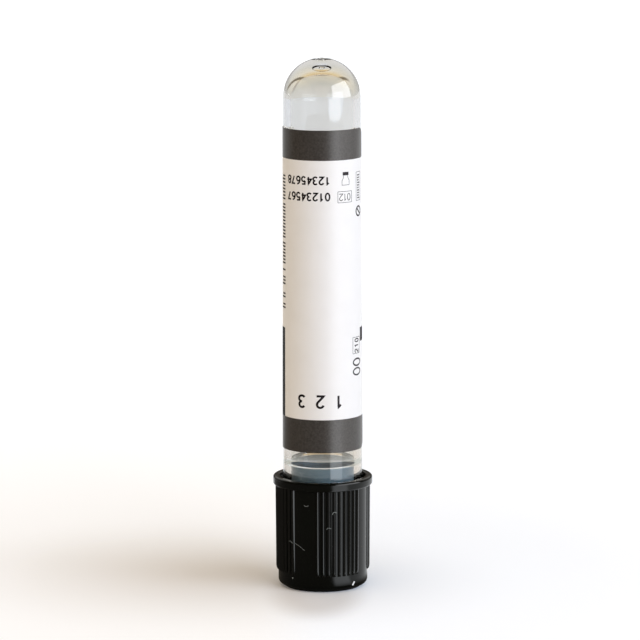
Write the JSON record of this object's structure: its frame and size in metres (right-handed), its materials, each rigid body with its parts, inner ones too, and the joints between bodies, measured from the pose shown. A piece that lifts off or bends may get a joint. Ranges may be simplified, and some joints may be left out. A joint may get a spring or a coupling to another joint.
{
  "type": "blood collection tube",
  "caption": "Clear domed plastic tube with a wrapped label, closed by a ribbed black safety cap and a rubber stopper, with a little clear solution inside.",
  "frame": {"origin": "centre of the cap's outer end face, on the surface that the tube stands on", "axes": "+Z along the tube, from the cap to the domed end; the front of the label faces -Y"},
  "size_m": [0.0158, 0.0158, 0.0845],
  "materials": {
    "cap_plastic": "black moulded polyethylene, low gloss",
    "stopper_rubber": "dark grey siliconised rubber",
    "solution": "clear colourless liquid",
    "tube_plastic": "clear moulded PET",
    "label_paper": "white coated label stock, satin",
    "label_ink": "dark grey printed field, satin"
  },
  "bodies": {
    "cap_side": {"cap": "cap_plastic", "stopper": "stopper_rubber", "additive": "solution"},
    "tube_side": {"tube": "tube_plastic", "label": "label_paper", "label_print": "label_ink"}
  },
  "joints": [
    {"name": "cap_pull", "type": "slide", "parent": "cap_side", "child": "tube_side", "axis": [0, 0, 1], "range_m": [0, 0.025]}
  ]
}
